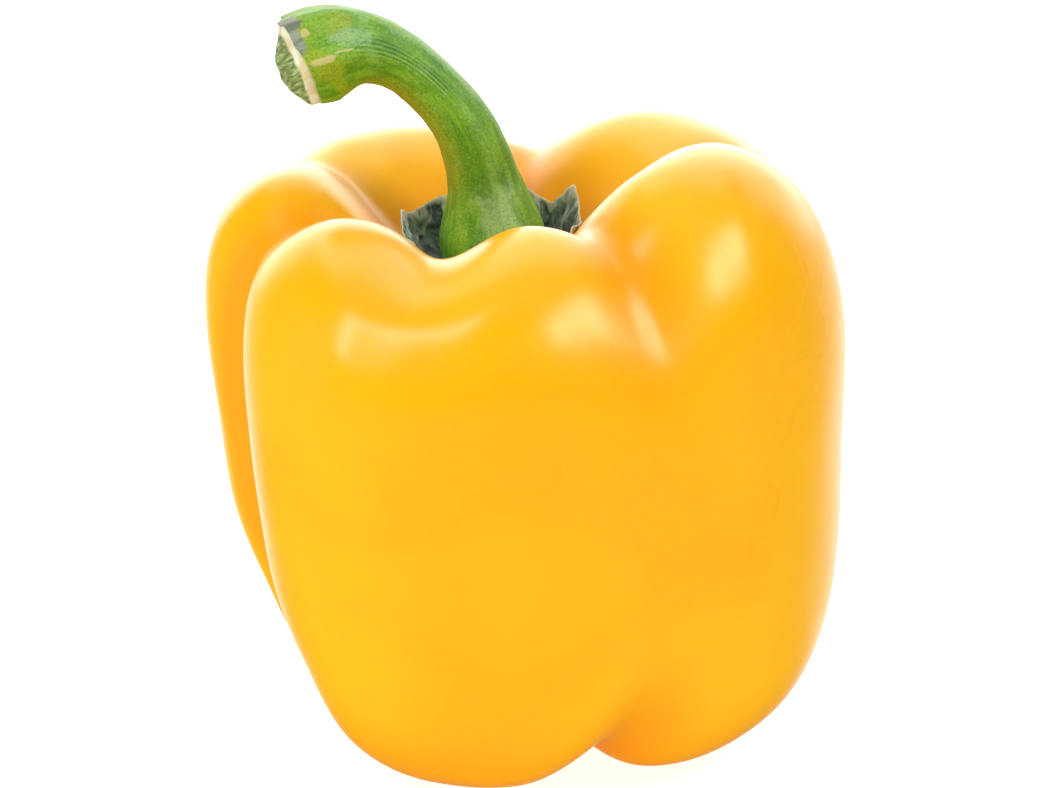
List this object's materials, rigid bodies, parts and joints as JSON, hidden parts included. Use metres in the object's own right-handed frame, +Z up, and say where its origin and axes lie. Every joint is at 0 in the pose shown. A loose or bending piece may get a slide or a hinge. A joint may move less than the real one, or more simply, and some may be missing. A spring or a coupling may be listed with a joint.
{
  "type": "bell pepper",
  "caption": "Whole yellow bell pepper with lobed glossy skin, a sunken top, a toothed calyx and a thick bent green stem, standing on its lobes.",
  "frame": {"origin": "on the surface that the pepper stands on, at the middle of its bounding box", "axes": "+Z up; -Y is the side of the widest lobe, which the picture looks at; the stem bends towards -X"},
  "size_m": [0.0906, 0.092, 0.1073],
  "materials": {
    "pepper_skin": null,
    "dry_calyx": null,
    "green_stalk": null
  },
  "bodies": {
    "root": {"fruit": "pepper_skin", "calyx": "dry_calyx", "stem": "green_stalk"}
  },
  "joints": []
}
